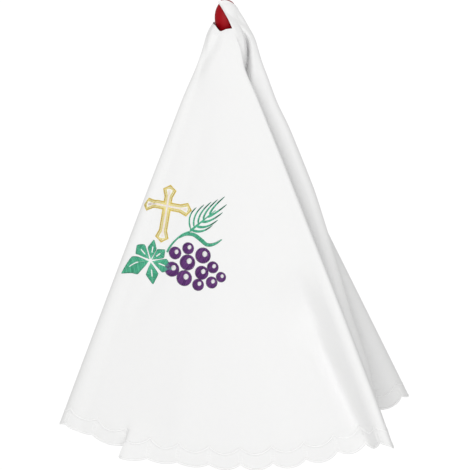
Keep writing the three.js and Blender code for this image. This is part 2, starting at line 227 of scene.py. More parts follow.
def tuckMove(share, reach):
    rise = ease((reach - tuck["from"]) / (clothCut["radius"] - tuck["from"]))
    held = np.clip((share - tuck["at"]) / tuck["half"], -1, 1)
    fall = np.exp(-np.maximum(0, share - tuck["at"] - tuck["half"]) / tuck["fade"])
    step = (0.5 + 0.5 * np.sin(held * math.pi / 2)) * fall
    x = -tuck["overlap"] * rise * np.sin(held * math.pi)
    y = -tuck["deep"] * rise * step
    z = -tuck["drop"] * rise * step
    return x, y * betweenFolds(share), z


def hangingPoint(place, reach):
    topX, topY = planPoint(place, False)
    hemX, hemY = planPoint(place, True)
    down = reach / clothCut["radius"]
    i = np.floor(place).astype(int)
    part = place - i
    here, after = i % foldCount, (i + 1) % foldCount
    front, behind = here == 0, here == 1
    power = np.where(behind, clothCut["behindSagPower"], 1)
    power = np.where(front, clothCut["frontSagPower"], power)
    sag = mix(fold["sag"][here], fold["sag"][after], part ** power)
    fall = np.sqrt((clothCut["radius"] + sag) ** 2 - (hemX - topX) ** 2 - (hemY - topY) ** 2)
    bulge = mix(fold["bulge"][here], fold["bulge"][after], part) * np.sin(math.pi * down)
    x, y, z = mix(topX, hemX, down) + bulge, mix(topY, hemY, down), -fall * down
    share = (part - turnShare) / (1 - 2 * turnShare)
    flat = (share > 0) & (share < 1)
    width = clothCut["frontWide"] * down
    tuckX, tuckY, tuckZ = tuckMove(share, reach)
    # the layer behind the front one gives way to its creases
    behindShare = 1 - clothCut["behindWidth"] * share
    givenWay = creaseDepth(behindShare, reach, width) * ease((1 - share) / clothCut["behindFade"])
    y = y + np.where(flat & front, creaseDepth(share, reach, width) + tuckY, 0)
    y = y + np.where(flat & behind, givenWay, 0)
    x = x + np.where(flat & front, tuckX, 0)
    z = z + np.where(flat & front, tuckZ, 0)
    waves = sum(np.sin(place * across + reach * along + start) * part
                for across, along, start, part in uneven["waves"])
    return x, y + uneven["deep"] * waves * ease((reach - uneven["from"]) / uneven["over"]), z


def foldTrim(place, reach):
    # each trim is full at its own fold, and fades out towards the next fold on either side
    moved = 0
    for k, trim in trims.items():
        away = np.abs((place - k + foldCount / 2) % foldCount - foldCount / 2)
        moved = moved + np.maximum(0, 1 - away) * np.interp(reach, trim["reach"], trim["right"])
    return moved


def pocketDepth(place, reach):
    depth = 0
    for pocket in named(pocketColumns, pockets):
        down = (reach - pocket["fromReach"]) / (pocket["toReach"] - pocket["fromReach"])
        half = mix(pocket["fromHalf"], pocket["toHalf"], np.clip(down, 0, 1))
        off = (place - mix(pocket["fromPlace"], pocket["toPlace"], down)) / half
        rise, end = pocket["rise"], pocket["end"]
        depth = depth + (pocket["deep"] * ease((reach - rise[0]) / (rise[1] - rise[0]))
                         * ease((end[1] - reach) / (end[1] - end[0])) * np.exp(-off * off))
    return depth


def collarValue(name, place):
    # the table's rows joined by straight lines, with the corners rounded off
    places = np.append(collarTable["place"], foldCount)
    values = np.append(collarTable[name], collarTable[name][0])
    total = 0
    for step, weight in runningMean:
        near = (place + step * collar["cornerStep"]) % foldCount
        total = total + weight * np.interp(near, places, values)
    return total / meanWeight


def gatheredPoint(place, reach):
    rimX, rimY, rimZ = (collarValue(name, place) for name in ("rimX", "rimY", "rimZ"))
    spread = 1 + collar["spread"] * np.maximum(reach - collar["reach"], 0)
    x, y = collarValue("x", place) * spread, collarValue("y", place) * spread
    fromRim = np.clip(reach / collar["reach"], 0, 1)
    z = np.where(reach < collar["reach"], mix(rimZ, -collar["reach"] * collar["fall"], fromRim),
                 -reach * collar["fall"])
    out = fromRim ** collar["round"]
    x, y = mix(rimX, x, out), mix(rimY, y, out)
    hangX, hangY, hangZ = hangingPoint(place, reach)
    loose = ease((reach - collar["reach"]) / (collar["looseReach"] - collar["reach"]))
    x = mix(x, hangX, loose) + foldTrim(place, reach)
    y = mix(y, hangY, loose) + pocketDepth(place, reach)
    return np.stack([x, y, mix(z, hangZ, loose)], axis=-1)


def clothPoint(place, reach):
    # reach is measured along the cloth, down from its upper edge to the collar and on to the hem
    place = np.asarray(place, float) % foldCount
    place, reach = np.broadcast_arrays(place, np.asarray(reach, float))
    slack = collar["slack"] * ease((collar["slackReach"] - reach) / collar["slackFade"])
    total = 0
    for step, weight in runningMean:
        total = total + weight * gatheredPoint(place, np.maximum(reach + step * slack, 0))
    point = total / meanWeight
    # nothing goes into the knob
    size = np.array([knob["halfWide"], knob["halfDeep"], knob["halfHigh"]]) + knobRoom
    middle = np.array([knob["x"], 0, knob["z"]])
    offset = point - middle
    share = np.linalg.norm(offset / size, axis=-1, keepdims=True)
    point = np.where(share < 1, middle + offset / np.maximum(share, 1e-6), point)
    return point - np.array([0, 0, drop])


def clothNormal(place, reach):
    aside, down = normalSteps["place"], normalSteps["reach"]
    sideways = clothPoint(place + aside, reach) - clothPoint(place - aside, reach)
    downwards = clothPoint(place, reach + down) - clothPoint(place, np.maximum(reach - down, 0))
    normal = np.cross(downwards, sideways)
    return normal / np.maximum(np.linalg.norm(normal, axis=-1, keepdims=True), 1e-12)


# places round the cloth against the length of its hem, for what is laid out along the hem
hemSteps = 6000
clothEdge = clothCut["radius"] - clothCut["borderWidth"]
hemPlaces = np.linspace(0, foldCount, hemSteps + 1)
hemLine = clothPoint(hemPlaces, clothEdge)
hemLengths = np.concatenate([[0], np.cumsum(np.linalg.norm(np.diff(hemLine, axis=0), axis=1))])
hemWhole = hemLengths[-1]
scallopPitch = hemWhole / clothCut["scallops"]


def placeAlongHem(along):
    return np.interp(along % hemWhole, hemLengths, hemPlaces)


def alongHem(steps):
    # evenly along the hem from the first notch, so many steps to a scallop
    count = clothCut["scallops"] * steps
    return (np.arange(count) / steps + clothCut["scallopShift"]) * scallopPitch


def clothAngle(place):
    return np.interp(place % foldCount, hemPlaces, hemLengths) / hemWhole * 2 * math.pi


def newPiece(name, points, faces, material, uv=None, smooth=True):
    mesh = bpy.data.meshes.new(name)
    mesh.from_pydata([tuple(p) for p in points], [], faces)
    if uv is not None:
        layer = mesh.uv_layers.new(name="flat")
        corner = np.zeros(len(mesh.loops), int)
        mesh.loops.foreach_get("vertex_index", corner)
        layer.data.foreach_set("uv", np.asarray(uv, np.float32)[corner].ravel())
    mesh.polygons.foreach_set("use_smooth", [smooth] * len(mesh.polygons))
    mesh.validate()
    mesh.update()
    piece = bpy.data.objects.new(name, mesh)
    bpy.context.scene.collection.objects.link(piece)
    mesh.materials.append(material)
    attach(piece, "root")
    return piece


def gridFaces(rows, columns):
    # each row runs all the way round, and joins up with its own start
    return [(r * columns + c, (r + 1) * columns + c, (r + 1) * columns + (c + 1) % columns,
             r * columns + (c + 1) % columns) for r in range(rows - 1) for c in range(columns)]


def selectOnly(piece):
    bpy.ops.object.select_all(action="DESELECT")
    bpy.context.view_layer.objects.active = piece
    piece.select_set(True)


def useModifier(piece, kind, **values):
    modifier = piece.modifiers.new(kind.title(), kind)
    for name, value in values.items():
        setattr(modifier, name, value)
    selectOnly(piece)
    bpy.ops.object.modifier_apply(modifier=modifier.name)
    piece.select_set(False)


def smoothUnder(piece, degrees):
    selectOnly(piece)
    bpy.ops.object.shade_smooth_by_angle(angle=math.radians(degrees))
    piece.select_set(False)


def pointNormalsOut(piece):
    selectOnly(piece)
    bpy.ops.object.mode_set(mode="EDIT")
    bpy.ops.mesh.select_all(action="SELECT")
    bpy.ops.mesh.normals_make_consistent(inside=False)
    bpy.ops.object.mode_set(mode="OBJECT")
    piece.select_set(False)


def giveTones(piece, tones):
    # a light or dark tone at each point, which the thread's material reads
    attribute = piece.data.attributes.new("tone", "FLOAT", "POINT")
    attribute.data.foreach_set("value", np.asarray(tones, np.float32))


def makeSheet(name, places, reaches, material, slot):
    # a sheet over a grid of places and reaches, laid out on the flat cloth, with a crisp cut edge
    angle = clothAngle(places)
    uv = np.stack([reaches * np.cos(angle), reaches * np.sin(angle)], axis=-1).reshape(-1, 2)
    points = clothPoint(places, reaches).reshape(-1, 3)
    piece = newPiece(name, points, gridFaces(*reaches.shape), material, uv)
    useModifier(piece, "SOLIDIFY", thickness=clothCut["thick"], offset=0)
    smoothUnder(piece, 60)
    return piece


# materials
def newMaterial(name):
    material = bpy.data.materials.new(name)
    material.use_nodes = True
    nodes, links = material.node_tree.nodes, material.node_tree.links
    return material, nodes, links, nodes["Principled BSDF"]


def addNode(nodes, kind, **values):
    node = nodes.new(kind)
    for name, value in values.items():
        if name in node.inputs:
            node.inputs[name].default_value = value
        else:
            setattr(node, name, value)
    return node


def mixColours(nodes, links, share, dark, light, shader):
    colour = addNode(nodes, "ShaderNodeMix", data_type="RGBA")
    colour.inputs[6].default_value = dark
    colour.inputs[7].default_value = light
    links.new(share, colour.inputs[0])
    links.new(colour.outputs[2], shader.inputs["Base Color"])


def setSurface(nodes, links, shader, height, look):
    bump = addNode(nodes, "ShaderNodeBump", Strength=look["bump"], Distance=look["bumpHigh"])
    links.new(height, bump.inputs["Height"])
    links.new(bump.outputs["Normal"], shader.inputs["Normal"])
    shader.inputs["Roughness"].default_value = look["rough"]
    shader.inputs["Specular IOR Level"].default_value = look["specular"]


def addGrain(nodes, links, shader, look):
    # a fine grain in the surface, from noise that sits on the piece itself
    place = addNode(nodes, "ShaderNodeTexCoord")
    grain = addNode(nodes, "ShaderNodeTexNoise", Scale=look["grain"], Detail=look["detail"])
    links.new(place.outputs["Object"], grain.inputs["Vector"])
    setSurface(nodes, links, shader, grain.outputs["Fac"], look)
    return grain.outputs["Fac"]


# how many threads lie side by side in two metres of the flat cloth, and slubs in one
linen = {"colour": (0.9, 0.9, 0.9, 1), "shade": (0.865, 0.865, 0.867, 1), "threads": 1900,
         "wander": 0.6, "wanderScale": 40, "slubs": 160, "slubShare": 0.5, "shadeFrom": 0.35,
         "shadeTo": 1.35, "rough": 0.92, "sheen": 0.25, "specular": 0.2, "bump": 0.35,
         "bumpHigh": 0.00015}
threadsPerScale = 6.283  # in those two metres, for each unit of a wave's scale


def makeLinen(name, sizes):
    # warp and weft from two waves on the flat cloth, and thicker threads here and there
    material, nodes, links, shader = newMaterial(name)
    flat = addNode(nodes, "ShaderNodeUVMap", uv_map="flat")
    waves = []
    for direction in ("X", "Y"):
        wave = addNode(nodes, "ShaderNodeTexWave", bands_direction=direction,
                       Scale=sizes["threads"] / threadsPerScale, Distortion=sizes["wander"],
                       Detail=1.0)
        wave.inputs["Detail Scale"].default_value = sizes["wanderScale"]
        links.new(flat.outputs["UV"], wave.inputs["Vector"])
        waves.append(wave)
    weave = addNode(nodes, "ShaderNodeMath", operation="MAXIMUM")
    links.new(waves[0].outputs["Fac"], weave.inputs[0])
    links.new(waves[1].outputs["Fac"], weave.inputs[1])
    slub = addNode(nodes, "ShaderNodeTexNoise", Scale=sizes["slubs"], Detail=3.0, Roughness=0.6)
    links.new(flat.outputs["UV"], slub.inputs["Vector"])
    both = addNode(nodes, "ShaderNodeMath", operation="MULTIPLY_ADD")
    both.inputs[1].default_value = sizes["slubShare"]
    links.new(slub.outputs["Fac"], both.inputs[0])
    links.new(weave.outputs["Value"], both.inputs[2])
    tone = addNode(nodes, "ShaderNodeMapRange")
    tone.inputs["From Min"].default_value = sizes["shadeFrom"]
    tone.inputs["From Max"].default_value = sizes["shadeTo"]
    links.new(both.outputs["Value"], tone.inputs["Value"])
    mixColours(nodes, links, tone.outputs["Result"], sizes["shade"], sizes["colour"], shader)
    setSurface(nodes, links, shader, both.outputs["Value"], sizes)
    shader.inputs["Sheen Weight"].default_value = sizes["sheen"]
    return material


threadColours = {
    "gold": ((0.96, 0.81, 0.26, 1), (0.99, 0.94, 0.48, 1)),
    "goldEdge": ((0.78, 0.57, 0.1, 1), (0.9, 0.77, 0.22, 1)),
    "cream": ((0.92, 0.8, 0.72, 1), (0.95, 0.9, 0.85, 1)),
    "green": ((0.05, 0.43, 0.25, 1), (0.19, 0.75, 0.5, 1)),
    "darkGreen": ((0.01, 0.13, 0.075, 1), (0.03, 0.27, 0.16, 1)),
    "purple": ((0.11, 0.026, 0.18, 1), (0.3, 0.1, 0.4, 1)),
    "darkPurple": ((0.035, 0.008, 0.07, 1), (0.08, 0.02, 0.13, 1)),
    "white": ((0.93, 0.93, 0.93, 1), (0.97, 0.97, 0.97, 1)),
}


threadLook = {"rough": 0.42, "specular": 0.3, "grain": 900, "detail": 2.0, "bump": 0.3,
              "bumpHigh": 0.0001}


def makeThread(name, colours):
    # each strand has its own tone, and a fine twist along it
    material, nodes, links, shader = newMaterial(name)
    tone = addNode(nodes, "ShaderNodeAttribute", attribute_name="tone")
    mixColours(nodes, links, tone.outputs["Fac"], colours[0], colours[1], shader)
    addGrain(nodes, links, shader, threadLook)
    return material


linenMaterial = makeLinen("plain linen", linen)
borderMaterial = makeLinen("border linen", dict(linen, threads=2300, slubs=240, bump=0.45))
# white satin thread, painted a little brighter than the linen as the raised line's highlight
satin = dict(linen, colour=(0.955, 0.955, 0.955, 1), shade=(0.92, 0.92, 0.92, 1), threads=5200,
             sheen=0.4, bump=0.3)
satinHighlightMaterial = makeLinen("white satin stitch with painted highlight", satin)
threads = {name: makeThread(name + " thread", colours) for name, colours in threadColours.items()}
print("materials made")


# camera, light and floor
camera = {"x": 0.016, "distance": 1.56, "height": -0.35, "lens": 91.9, "sensor": 36}
bpy.ops.object.select_all(action="DESELECT")
bpy.ops.object.camera_add(location=(camera["x"], -camera["distance"], camera["height"]),
                          rotation=(math.pi / 2, 0, 0))
bpy.context.scene.camera = bpy.context.object
bpy.context.object.data.lens = camera["lens"]
bpy.context.object.data.sensor_width = camera["sensor"]

lamps = {
    "key": {"at": (-0.9, -2.5, 0.35), "size": 1.6, "power": 22},
    "front": {"at": (0.3, -2.8, -0.2), "size": 2.2, "power": 11},
    "fill": {"at": (1.3, -2.5, -0.2), "size": 1.8, "power": 8},
}
for name, lamp in lamps.items():
    bpy.ops.object.light_add(type="AREA", location=lamp["at"])
    light = bpy.context.object
    light.name = name
    light.data.size = lamp["size"]
    light.data.energy = lamp["power"]
    aim = np.array([0, 0, camera["height"]]) - np.array(lamp["at"])
    light.rotation_euler = (math.atan2(math.hypot(aim[0], aim[1]), -aim[2]), 0,
                            math.atan2(aim[1], aim[0]) - math.pi / 2)

# the sky lights the cloth softly, and shows as a white wall
skyLight = {"colour": (1, 1, 0.99, 1), "strength": 0.56}
wall = {"colour": (1, 1, 1, 1), "strength": 1.05}
world = bpy.data.worlds.new("studio")
bpy.context.scene.world = world
world.use_nodes = True
worldNodes, worldLinks = world.node_tree.nodes, world.node_tree.links
sky = worldNodes["Background"]
seen = worldNodes.new("ShaderNodeBackground")
for node, values in ((sky, skyLight), (seen, wall)):
    node.inputs["Color"].default_value = values["colour"]
    node.inputs["Strength"].default_value = values["strength"]
path = worldNodes.new("ShaderNodeLightPath")
either = worldNodes.new("ShaderNodeMixShader")
worldLinks.new(path.outputs["Is Camera Ray"], either.inputs[0])
worldLinks.new(sky.outputs[0], either.inputs[1])
worldLinks.new(seen.outputs[0], either.inputs[2])
worldLinks.new(either.outputs[0], worldNodes["World Output"].inputs[0])
bpy.context.scene.view_settings.view_transform = "Standard"

floor = {"height": -1.7, "radius": 3.0, "colour": (0.86, 0.86, 0.86, 1), "rough": 0.8}
bpy.ops.mesh.primitive_circle_add(vertices=96, radius=floor["radius"], fill_type="NGON",
                                  location=(0, 0, floor["height"]))
floorPiece = bpy.context.object
floorPiece.name = "floor"
floorMaterial, _, _, floorShader = newMaterial("pale floor")
floorShader.inputs["Base Color"].default_value = floor["colour"]
floorShader.inputs["Roughness"].default_value = floor["rough"]
floorPiece.data.materials.append(floorMaterial)
print("camera, light and floor set")


# the cloth: how many steps the front layer, each other layer and each half turn take round it, and
# its rim, collar and hanging part down it
sheetSteps = {"front": 128, "layer": 16, "turn": 5, "rim": 12, "collar": 22, "hang": 66}


def sheetPlaces(sizes):
    places = []
    for i in range(foldCount):
        inner = sizes["front"] if i == 0 else sizes["layer"]
        for start, end, count in ((0, turnShare, sizes["turn"]), (turnShare, 1 - turnShare, inner),
                                  (1 - turnShare, 1, sizes["turn"])):
            places += list(i + np.linspace(start, end, count, endpoint=False))
    return np.array(places)


def makeCloth(sizes):
    places = sheetPlaces(sizes)
    reaches = np.concatenate([
        np.linspace(0, collar["reach"], sizes["rim"], endpoint=False),
        np.linspace(collar["reach"], collar["looseReach"], sizes["collar"], endpoint=False),
        np.linspace(collar["looseReach"], clothEdge, sizes["hang"]),
    ])
    return makeSheet("cloth_sheet", *np.meshgrid(places, reaches), linenMaterial, "linen")


cloth = makeCloth(sheetSteps)
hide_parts("cloth")
print("cloth made,", len(cloth.data.polygons), "faces")


# the scalloped border
border = {"perScallop": 14, "rows": 9, "power": 0.8, "leftEnd": 0.6, "leftFade": 0.25,
          "lineDepth": 0.0085, "lineAt": 0.5715, "bandWide": 0.0013, "bandHigh": 0.00035,
          "bandSides": 6, "bandSideWide": 0.0005, "bandSteps": 12}


def scallopLobe(along):
    turn = (along / scallopPitch - clothCut["scallopShift"]) * math.pi
    return np.abs(np.sin(turn)) ** border["power"]


def hemReach(along):
    place = placeAlongHem(along)
    onLeft = ease((border["leftEnd"] - place) / border["leftFade"])
    depth = clothCut["scallopDepth"] * mix(1, clothCut["leftDepth"], onLeft)
    raised = clothCut["raised"] * (clothCut["scallopDepth"] - depth)
    return clothCut["radius"] - raised - depth * (1 - scallopLobe(along))


def makeBorder(sizes):
    along = alongHem(sizes["perScallop"])
    share = np.linspace(0, 1, sizes["rows"])[:, None]
    reaches = mix(clothEdge, hemReach(along)[None, :], share)
    places = np.broadcast_to(placeAlongHem(along), reaches.shape)
    return makeSheet("border_sheet", places, reaches, borderMaterial, "border")


borderSheet = makeBorder(border)
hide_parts("scalloped_border")
print("border made,", len(borderSheet.data.polygons), "faces")


def hemBand(name, reachAt):
    # a rounded satin band laid along the hem, on the outer face of the cloth, in white satin
    # brightened as a painted highlight
    along, sides = alongHem(border["bandSteps"]), border["bandSides"]
    columns = len(along)
    places, reaches = placeAlongHem(along), reachAt(along)
    middle = clothPoint(places, reaches)
    out = clothNormal(places, reaches)
    forward = np.roll(middle, -1, axis=0) - np.roll(middle, 1, axis=0)
    forward /= np.linalg.norm(forward, axis=1, keepdims=True)
    side = np.cross(forward, out)
    middle = middle + out * clothCut["thick"] / 2
    wide, high = border["bandWide"] * side, border["bandHigh"] * out
    rings = [middle + math.cos(a) * wide + math.sin(a) * high
             for a in np.arange(sides) * 2 * math.pi / sides]
    last = (sides - 1) * columns
    faces = gridFaces(sides, columns)
    faces += [(last + c, c, (c + 1) % columns, last + (c + 1) % columns) for c in range(columns)]
    across = np.arange(sides) * border["bandSideWide"]
    uv = np.stack([np.tile(along, sides), np.repeat(across, columns)], axis=1)
    return newPiece(name, np.concatenate(rings), faces, satinHighlightMaterial, uv)


def innerLineReach(along):
    return border["lineAt"] + border["lineDepth"] * scallopLobe(along)


def edgeLineReach(along):
    return hemReach(along) - border["bandWide"]


borderLine = hemBand("border_inner_line", innerLineReach)
borderEdge = hemBand("border_edge_line", edgeLineReach)
print("border lines made")


# strands of thread, laid on the front of the cloth
motif = {
    "reach": 0.3137,  # from the middle of the cloth to the middle of the motif
    "share": 0.246,  # of the front layer's width, to the left of it
    "widen": 1.06,
    "strand": 0.00055,  # from one strand to the next
    "thread": 0.0003,  # how thick a strand is
    "pad": 0.0006,  # how high a long strand arches
    "fullPad": 0.004,  # and how long it is before it does
    "sides": 0.55,  # how high its sides lie, against its arch
    "sink": 0.00012,
    "uneven": 0.25,
    "toneSpread": 0.28,
}
strandWide, broadStrand = motif["strand"] * 1.1, motif["strand"] * 1.15
satinPad = motif["pad"] * 0.7
dice = np.random.default_rng(7)


def frontPlace(share):
    return turnShare + share * (1 - 2 * turnShare)


shareStep = 0.01
beside = clothPoint(frontPlace(motif["share"] + shareStep), motif["reach"])
stepLength = float(np.linalg.norm(beside - clothPoint(frontPlace(motif["share"]), motif["reach"])))
anglePerShare = stepLength / shareStep / motif["reach"]


def onFront(p, q, lift):
    # p to the right and q up towards the middle of the cloth, from the centre of the motif
    p, q, lift = np.broadcast_arrays(np.multiply(p, motif["widen"]), q, lift)
    reach = np.hypot(motif["reach"] - q, p)
    place = frontPlace(motif["share"] + np.arctan2(p, motif["reach"] - q) / anglePerShare)
    lift = (lift + clothCut["thick"] / 2)[..., None]
    return clothPoint(place, reach) + clothNormal(place, reach) * lift


def leftOf(run):
    # one metre to the left of each run
    return np.stack([-run[:, 1], run[:, 0]], axis=1) / np.maximum(np.hypot(*run.T), 1e-9)[:, None]


def makeStrands(name, sets, colour, width=strandWide, thread=motif["thread"], pad=satinPad,
                steps=4):
    # each strand is a closed prism of three sides that arches from its start to its end
    starts, ends = (np.concatenate([strands[k] for strands in sets]) for k in (0, 1))
    count = len(starts)
    t = np.linspace(0, 1, steps + 1)
    run = ends - starts
    line = starts[:, None, :] + run[:, None, :] * t[None, :, None]
    side = leftOf(run) * width / 2
    length = np.maximum(np.hypot(*run.T), 1e-9)
    arch = np.sin(math.pi * t) ** 0.5 * np.minimum(1, length / motif["fullPad"])[:, None] * pad
    low = arch * motif["sides"] - motif["sink"]
    high = arch + thread * (1 + motif["uneven"] * (dice.random((count, 1)) - 0.5))
    left = onFront(line[..., 0] + side[:, None, 0], line[..., 1] + side[:, None, 1], low)
    right = onFront(line[..., 0] - side[:, None, 0], line[..., 1] - side[:, None, 1], low)
    top = onFront(line[..., 0], line[..., 1], high)
    points = np.stack([left, top, right], axis=2).reshape(-1, 3)
    faces = []
    for k in range(count):
        base = k * (steps + 1) * 3
        for j in range(steps):
            a, b = base + j * 3, base + j * 3 + 3
            faces += [(a, b, b + 1, a + 1), (a + 1, b + 1, b + 2, a + 2), (a + 2, b + 2, b, a)]
        last = base + steps * 3
        faces += [(base, base + 1, base + 2), (last, last + 2, last + 1)]
    piece = newPiece(name, points, faces, threads[colour])
    pointNormalsOut(piece)
    tones = np.clip(0.5 + motif["toneSpread"] * dice.standard_normal(count), 0, 1)
    giveTones(piece, np.repeat(tones, (steps + 1) * 3))
    piece.data.shade_smooth()
    return piece


def lengthsAlong(line):
    return np.concatenate([[0], np.cumsum(np.hypot(*np.diff(line, axis=0).T))])


def pointsAt(line, lengths, at):
    return np.stack([np.interp(at, lengths, line[:, k]) for k in (0, 1)], axis=1)


def railStrands(railA, railB, spacing=motif["strand"]):
    # rungs from one rail to the other, spaced evenly along their middle line
    railA, railB = np.asarray(railA, float), np.asarray(railB, float)
    lengths = lengthsAlong((railA + railB) / 2)
    count = max(2, int(lengths[-1] / spacing))
    at = (np.arange(count) + 0.5) / count * lengths[-1]
    return pointsAt(railA, lengths, at), pointsAt(railB, lengths, at)


curveSteps = 12


def curvePoints(points):
    # a smooth curve through a few points
    points = np.asarray(points, float)
    padded = np.concatenate([[2 * points[0] - points[1]], points, [2 * points[-1] - points[-2]]])
    out = []
    for k in range(1, len(padded) - 2):
        a, b, c, d = padded[k - 1:k + 3]
        t = np.linspace(0, 1, curveSteps, endpoint=k == len(padded) - 3)[:, None]
        out.append(0.5 * (2 * b + (c - a) * t + (2 * a - 5 * b + 4 * c - d) * t ** 2
                          + (3 * b - a - 3 * c + d) * t ** 3))
    return np.concatenate(out)


def ribbonRails(line, halfWidths):
    side = leftOf(np.gradient(line, axis=0)) * halfWidths[:, None]
    return line + side, line - side


rope = {"stitch": 0.0022, "overlap": 1.6, "slant": 0.28, "pad": 0.0001}


def ropeStrands(line, width):
    # short stitches, each a little across the line, as in a rope stitch
    lengths, stitch = lengthsAlong(line), rope["stitch"]
    count = max(2, int(lengths[-1] / stitch * rope["overlap"]))
    at = np.linspace(0, max(lengths[-1] - stitch, 1e-4), count)
    starts = pointsAt(line, lengths, at)
    ends = pointsAt(line, lengths, np.minimum(at + stitch, lengths[-1]))
    side = leftOf(ends - starts) * width * rope["slant"]
    return starts - side, ends + side


# the cross: a satin outline of two bands, with a thin groove between them, round a cream channel
crossSizes = {"at": (-0.031, 0.038), "up": 0.028, "down": 0.048, "side": 0.0335,
              "halfArm": 0.0054, "halfEnd": 0.009, "endAt": 0.0068, "flareAt": 0.0165,
              "band": 0.0019, "groove": 0.0003, "endInset": 1.15, "tipInset": 1.35,
              "flareInset": 0.4, "fillEnd": 0.0075, "fillOver": 0.0003, "fillStep": 0.0006,
              "fillWide": 0.00062, "fillThread": 0.0002, "fillPad": 0.0001}


def crossOutline(sizes, inset):
    # one arm after another, each from one inner corner round its pointed end to the next
    half, end = sizes["halfArm"] - inset, sizes["halfEnd"] - inset * sizes["endInset"]
    corners = []
    for turns, length in enumerate((sizes["up"], sizes["side"], sizes["down"], sizes["side"])):
        tip = length - inset * sizes["tipInset"]
        flare = length - sizes["flareAt"] + inset * sizes["flareInset"]
        wide = length - sizes["endAt"]
        arm = [(-half, half), (-half, flare), (-end, wide), (0, tip), (end, wide), (half, flare)]
        angle = -turns * math.pi / 2
        corners += [(x * math.cos(angle) - y * math.sin(angle),
                     x * math.sin(angle) + y * math.cos(angle)) for x, y in arm]
    corners.append(corners[0])
    return np.array(corners) + np.array(sizes["at"])


def outlineStrands(outer, inner):
    return [railStrands(outer[k:k + 2], inner[k:k + 2]) for k in range(len(outer) - 1)]


def makeCross(sizes):
    band, groove = sizes["band"], sizes["groove"]
    edges = [crossOutline(sizes, inset) for inset in (0, band, band + groove, 2 * band + groove)]
    outerBand = makeStrands("cross_outer_satin", outlineStrands(edges[0], edges[1]), "goldEdge")
    innerBand = makeStrands("cross_inner_satin", outlineStrands(edges[2], edges[3]), "gold")
    # the channel is filled across with cream thread
    x, y = sizes["at"]
    half, step = sizes["halfArm"] - 2 * band - groove + sizes["fillOver"], sizes["fillStep"]
    top, bottom = y + sizes["up"] - sizes["fillEnd"], y - sizes["down"] + sizes["fillEnd"]
    fills = [railStrands([(x - half, bottom), (x - half, top)],
                         [(x + half, bottom), (x + half, top)], step)]
    for way in (-1, 1):
        near, far = x + way * half, x + way * (sizes["side"] - sizes["fillEnd"])
        fills.append(railStrands([(near, y - half), (far, y - half)],
                                 [(near, y + half), (far, y + half)], step))
    cream = makeStrands("cross_channel", fills, "cream", sizes["fillWide"], sizes["fillThread"],
                        sizes["fillPad"])
    return [outerBand, innerBand, cream]


crossPieces = makeCross(crossSizes)
print("cross stitched")


# the grapes: satin discs with a darker rim and a white spot
grapeColumns = ("p", "q", "radius")
grapeRows = (
    (-0.0105, -0.0195, 0.0083), (0.0055, -0.0105, 0.0078), (0.0262, -0.016, 0.0103),
    (0.0075, -0.0285, 0.0103), (-0.0112, -0.0408, 0.0098), (0.0065, -0.049, 0.0103),
    (0.028, -0.038, 0.009), (0.0412, -0.0285, 0.0077), (0.0537, -0.0388, 0.0067),
    (0.0428, -0.0478, 0.0077), (0.0258, -0.054, 0.0078),
)
grapeSizes = {"inset": 0.0006, "slant": 0.5, "sway": 0.25, "swayStep": 2.1, "shortest": 0.0006,
              "rim": 0.0011, "rimStep": 0.0007, "rimWide": 0.00062, "rimPad": 0.00035,
              "spot": 0.36, "spotP": 0.2, "spotQ": 0.22, "spotGap": 0.0004, "spotRim": 0.0007,
              "spotTurn": 1.2, "spotWide": 0.00077, "spotThread": 0.0001, "spotPad": 0.0008}


def discStrands(centre, radius, slant, hole=None):
    # parallel strands across a disc, parted where the spot is left free
    along = np.array([math.sin(slant), math.cos(slant)])
    across = np.array([math.cos(slant), -math.sin(slant)])
    starts, ends = [], []
    count = int(2 * radius / motif["strand"])
    for k in range(count):
        off = (k + 0.5) / count * 2 * radius - radius
        half = math.sqrt(radius ** 2 - off ** 2)
        middle, cuts = np.array(centre) + across * off, [(-half, half)]
        if hole is not None:
            holeAt, holeRadius = hole
            rel = np.array(holeAt) - np.array(centre)
            away = off - float(rel @ across)
            if abs(away) < holeRadius:
                gap = math.sqrt(holeRadius ** 2 - away ** 2)
                mid = float(rel @ along)
                cuts = [(-half, mid - gap), (mid + gap, half)]
        for a, b in cuts:
            if b - a > grapeSizes["shortest"]:
                starts.append(middle + along * a)
                ends.append(middle + along * b)
    return np.array(starts), np.array(ends)


def ringStrands(centre, radius, band):
    count = int(2 * math.pi * radius / grapeSizes["rimStep"])
    angle = np.arange(count) / count * 2 * math.pi
    way = np.stack([np.cos(angle), np.sin(angle)], axis=1)
    return np.array(centre) + way * (radius - band), np.array(centre) + way * radius


def makeGrapes(sizes):
    fills, rims, spots = [], [], []
    for k, grape in enumerate(named(grapeColumns, grapeRows)):
        centre, radius = (grape["p"], grape["q"]), grape["radius"]
        spotAt = (centre[0] + sizes["spotP"] * radius, centre[1] + sizes["spotQ"] * radius)
        spotRadius = sizes["spot"] * radius
        slant = sizes["slant"] + sizes["sway"] * math.sin(k * sizes["swayStep"])
        fills.append(discStrands(centre, radius - sizes["inset"], slant, (spotAt, spotRadius)))
        rims.append(ringStrands(centre, radius, sizes["rim"]))
        rims.append(ringStrands(spotAt, spotRadius + sizes["spotGap"], sizes["spotRim"]))
        spots.append(discStrands(spotAt, spotRadius, slant + sizes["spotTurn"]))
    fill = makeStrands("grape_satin", fills, "purple", pad=motif["pad"])
    rim = makeStrands("grape_rims", rims, "darkPurple", sizes["rimWide"], pad=sizes["rimPad"],
                      steps=2)
    spot = makeStrands("grape_spots", spots, "white", sizes["spotWide"], sizes["spotThread"],
                       sizes["spotPad"], steps=3)
    return [fill, rim, spot]


grapePieces = makeGrapes(grapeSizes)
print("grapes stitched")


